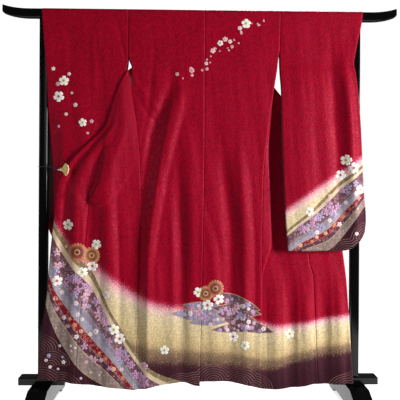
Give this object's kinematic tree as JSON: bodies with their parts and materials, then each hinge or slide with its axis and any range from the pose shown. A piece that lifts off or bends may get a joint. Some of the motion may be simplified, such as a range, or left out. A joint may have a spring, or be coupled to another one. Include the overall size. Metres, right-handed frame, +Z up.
{
  "type": "furisode kimono on a kimono stand",
  "caption": "Long-sleeved red silk kimono with a flowered, shaded hem, hung spread from its back over the bar of a black lacquered stand, one front held open by a fan clip.",
  "frame": {"origin": "on the floor, at the middle of the stand", "axes": "+X to the right and +Z up as the garment's back is faced; -Y is the side that shows its back"},
  "size_m": [1.718, 0.534, 1.751],
  "materials": {
    "silk": "red damask silk with a soft sheen, shaded to beige and dark maroon at the hem",
    "lacquer": "black lacquer on wood, high gloss",
    "gilt": "polished gilt",
    "silver": "polished",
    "cord": "twisted silk cord"
  },
  "bodies": {
    "root": {"left_back": "silk", "right_back": "silk", "left_front": "silk", "right_front": "silk", "left_okumi": "silk", "right_okumi": "silk", "left_sleeve": "silk", "right_sleeve": "silk", "collar": "silk", "top_bar": "lacquer", "left_post": "lacquer", "right_post": "lacquer", "left_board": "lacquer", "right_board": "lacquer", "left_foot": "lacquer", "right_foot": "lacquer", "clip_fan": "gilt", "clip_jaw": "gilt", "clip_ball": "silver", "clip_cord": "cord"}
  },
  "joints": []
}
